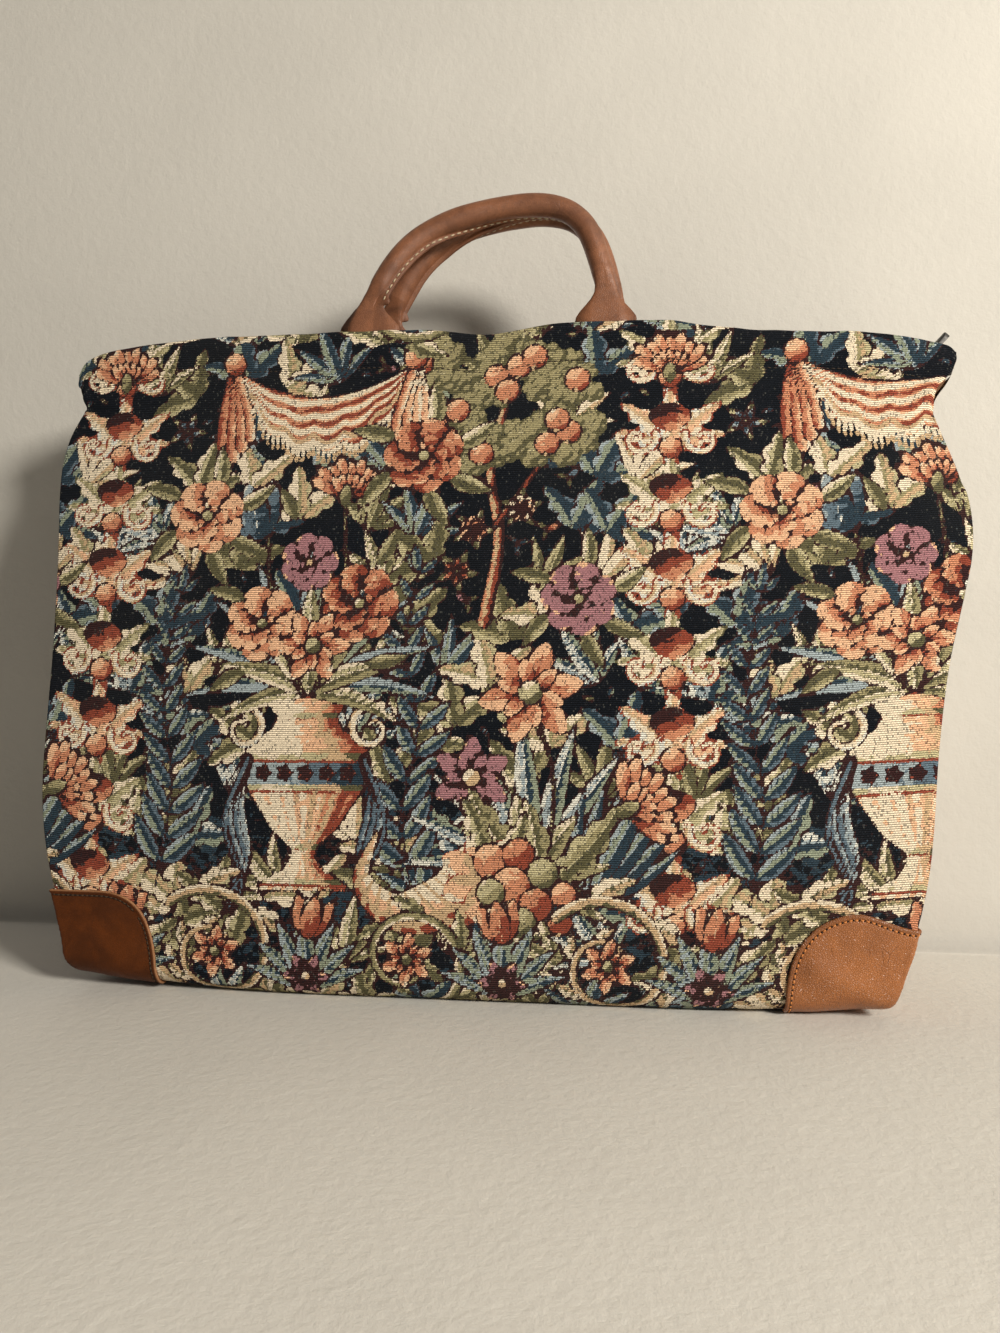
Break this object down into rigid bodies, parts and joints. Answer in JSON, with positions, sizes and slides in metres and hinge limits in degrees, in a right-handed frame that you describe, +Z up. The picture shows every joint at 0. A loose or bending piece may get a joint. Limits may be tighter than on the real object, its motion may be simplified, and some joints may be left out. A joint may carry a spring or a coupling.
{
  "type": "carpet bag",
  "caption": "Soft-sided tapestry carpet bag with leather corner patches, infolded side gussets, a recessed zip with a sliding pull, and rolled leather handles.",
  "frame": {"origin": "centre of the footprint at the underside of the base", "axes": "+X along the mouth towards the end where the zip is shut, -Y out of the front, +Z up"},
  "size_m": [0.5611, 0.1346, 0.495],
  "materials": {
    "tapestry": "heavy woven tapestry in navy, sage, cream, rust and rose, with raised weft ribs",
    "lining_cloth": "plain brown woven cotton, matte",
    "facing_cloth": "dark brown woven cloth, matte",
    "dark_leather": "smooth dark tan leather, mottled and softly worn",
    "tan_leather": "fine-grained tan leather with a soft sheen and thread stitching",
    "handle_leather": "mid-brown rolled leather, worn along the grip, with pale thread stitching",
    "zip_tape": "dark woven tape",
    "zip_metal": "dark antiqued metal"
  },
  "bodies": {
    "bag": {"base_panel": "tapestry", "front_panel": "tapestry", "back_panel": "tapestry", "side_gusset_left": "tapestry", "side_gusset_right": "tapestry", "lining": "lining_cloth", "top_facing_front": "facing_cloth", "top_facing_back": "facing_cloth", "corner_patch_front_left": "dark_leather", "corner_patch_front_right": "tan_leather", "corner_patch_back_left": "dark_leather", "corner_patch_back_right": "tan_leather", "zip_tape_front": "zip_tape", "zip_tape_back": "zip_tape", "zip_teeth_front": "zip_metal", "zip_teeth_back": "zip_metal", "zip_bottom_stop": "zip_metal", "zip_top_stops": "zip_metal", "zip_end_fold_left": "zip_tape", "zip_end_fold_right": "zip_tape"},
    "slider": {"zip_slider": "zip_metal"},
    "pull": {"zip_pull": "zip_metal"},
    "front_handle": {"handle_front": "handle_leather"},
    "back_handle": {"handle_back": "handle_leather"}
  },
  "joints": [
    {"name": "zip_run", "type": "slide", "parent": "bag", "child": "slider", "axis": [-1, 0, 0], "range_m": [0, 0.507]},
    {"name": "pull_swing", "type": "hinge", "parent": "slider", "child": "pull", "pos_m": [0.26145, 0, 0.379], "axis": [0, -1, 0], "range_deg": [0, 122]},
    {"name": "front_handle_fold", "type": "hinge", "parent": "bag", "child": "front_handle", "pos_m": [0, -0.0199, 0.407], "axis": [1, 0, 0], "range_deg": [0, 165]},
    {"name": "back_handle_fold", "type": "hinge", "parent": "bag", "child": "back_handle", "pos_m": [0, 0.0199, 0.407], "axis": [-1, 0, 0], "range_deg": [0, 165]}
  ]
}
